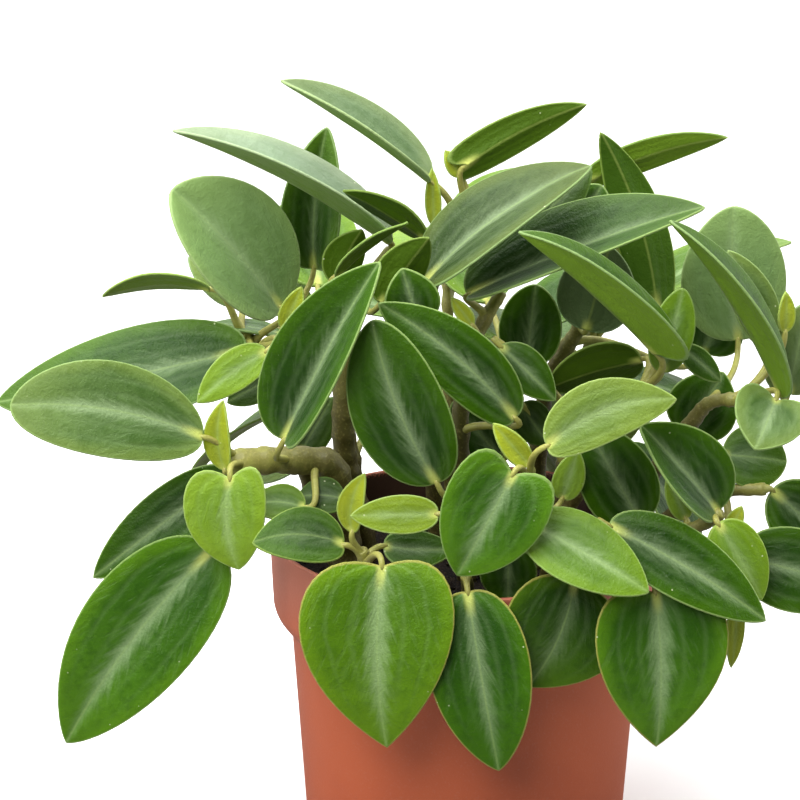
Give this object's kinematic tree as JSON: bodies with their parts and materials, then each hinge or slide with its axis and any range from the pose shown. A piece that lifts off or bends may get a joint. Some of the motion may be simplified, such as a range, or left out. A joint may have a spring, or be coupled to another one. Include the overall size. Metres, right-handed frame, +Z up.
{
  "type": "potted house plant",
  "caption": "Bushy peperomia with thick heart-shaped and oval leaves on branching stems, in a terracotta-coloured plastic nursery pot filled with soil.",
  "frame": {"origin": "middle of the pot's foot, on the surface the pot stands on", "axes": "+Z up along the pot's axis; -Y is the front, the side the picture shows; +X to the viewer's right"},
  "size_m": [0.2623, 0.1968, 0.2453],
  "materials": {
    "pot_plastic": "matte terracotta-coloured moulded plastic",
    "soil": "dark crumbly potting soil",
    "leaf": "thick semi-gloss leaf with a paler margin and midrib",
    "stem": "smooth olive to yellow-green stem and leaf stalk"
  },
  "bodies": {
    "root": {"pot": "pot_plastic", "soil": "soil", "stem_left_arm": "leaf", "stem_left_rising": "leaf", "stem_left_back": "leaf", "stem_front_left": "leaf", "stem_front_mid": "leaf", "stem_front_low": "leaf", "stem_centre": "leaf", "stem_crown": "leaf", "stem_back_right": "leaf", "stem_right_inner": "leaf", "stem_front_right": "leaf", "stem_right_low": "leaf", "stem_right_rising": "leaf", "stem_far_left": "leaf", "stem_far_middle": "leaf", "stem_far_right": "leaf", "stem_far_centre": "leaf"}
  },
  "joints": []
}
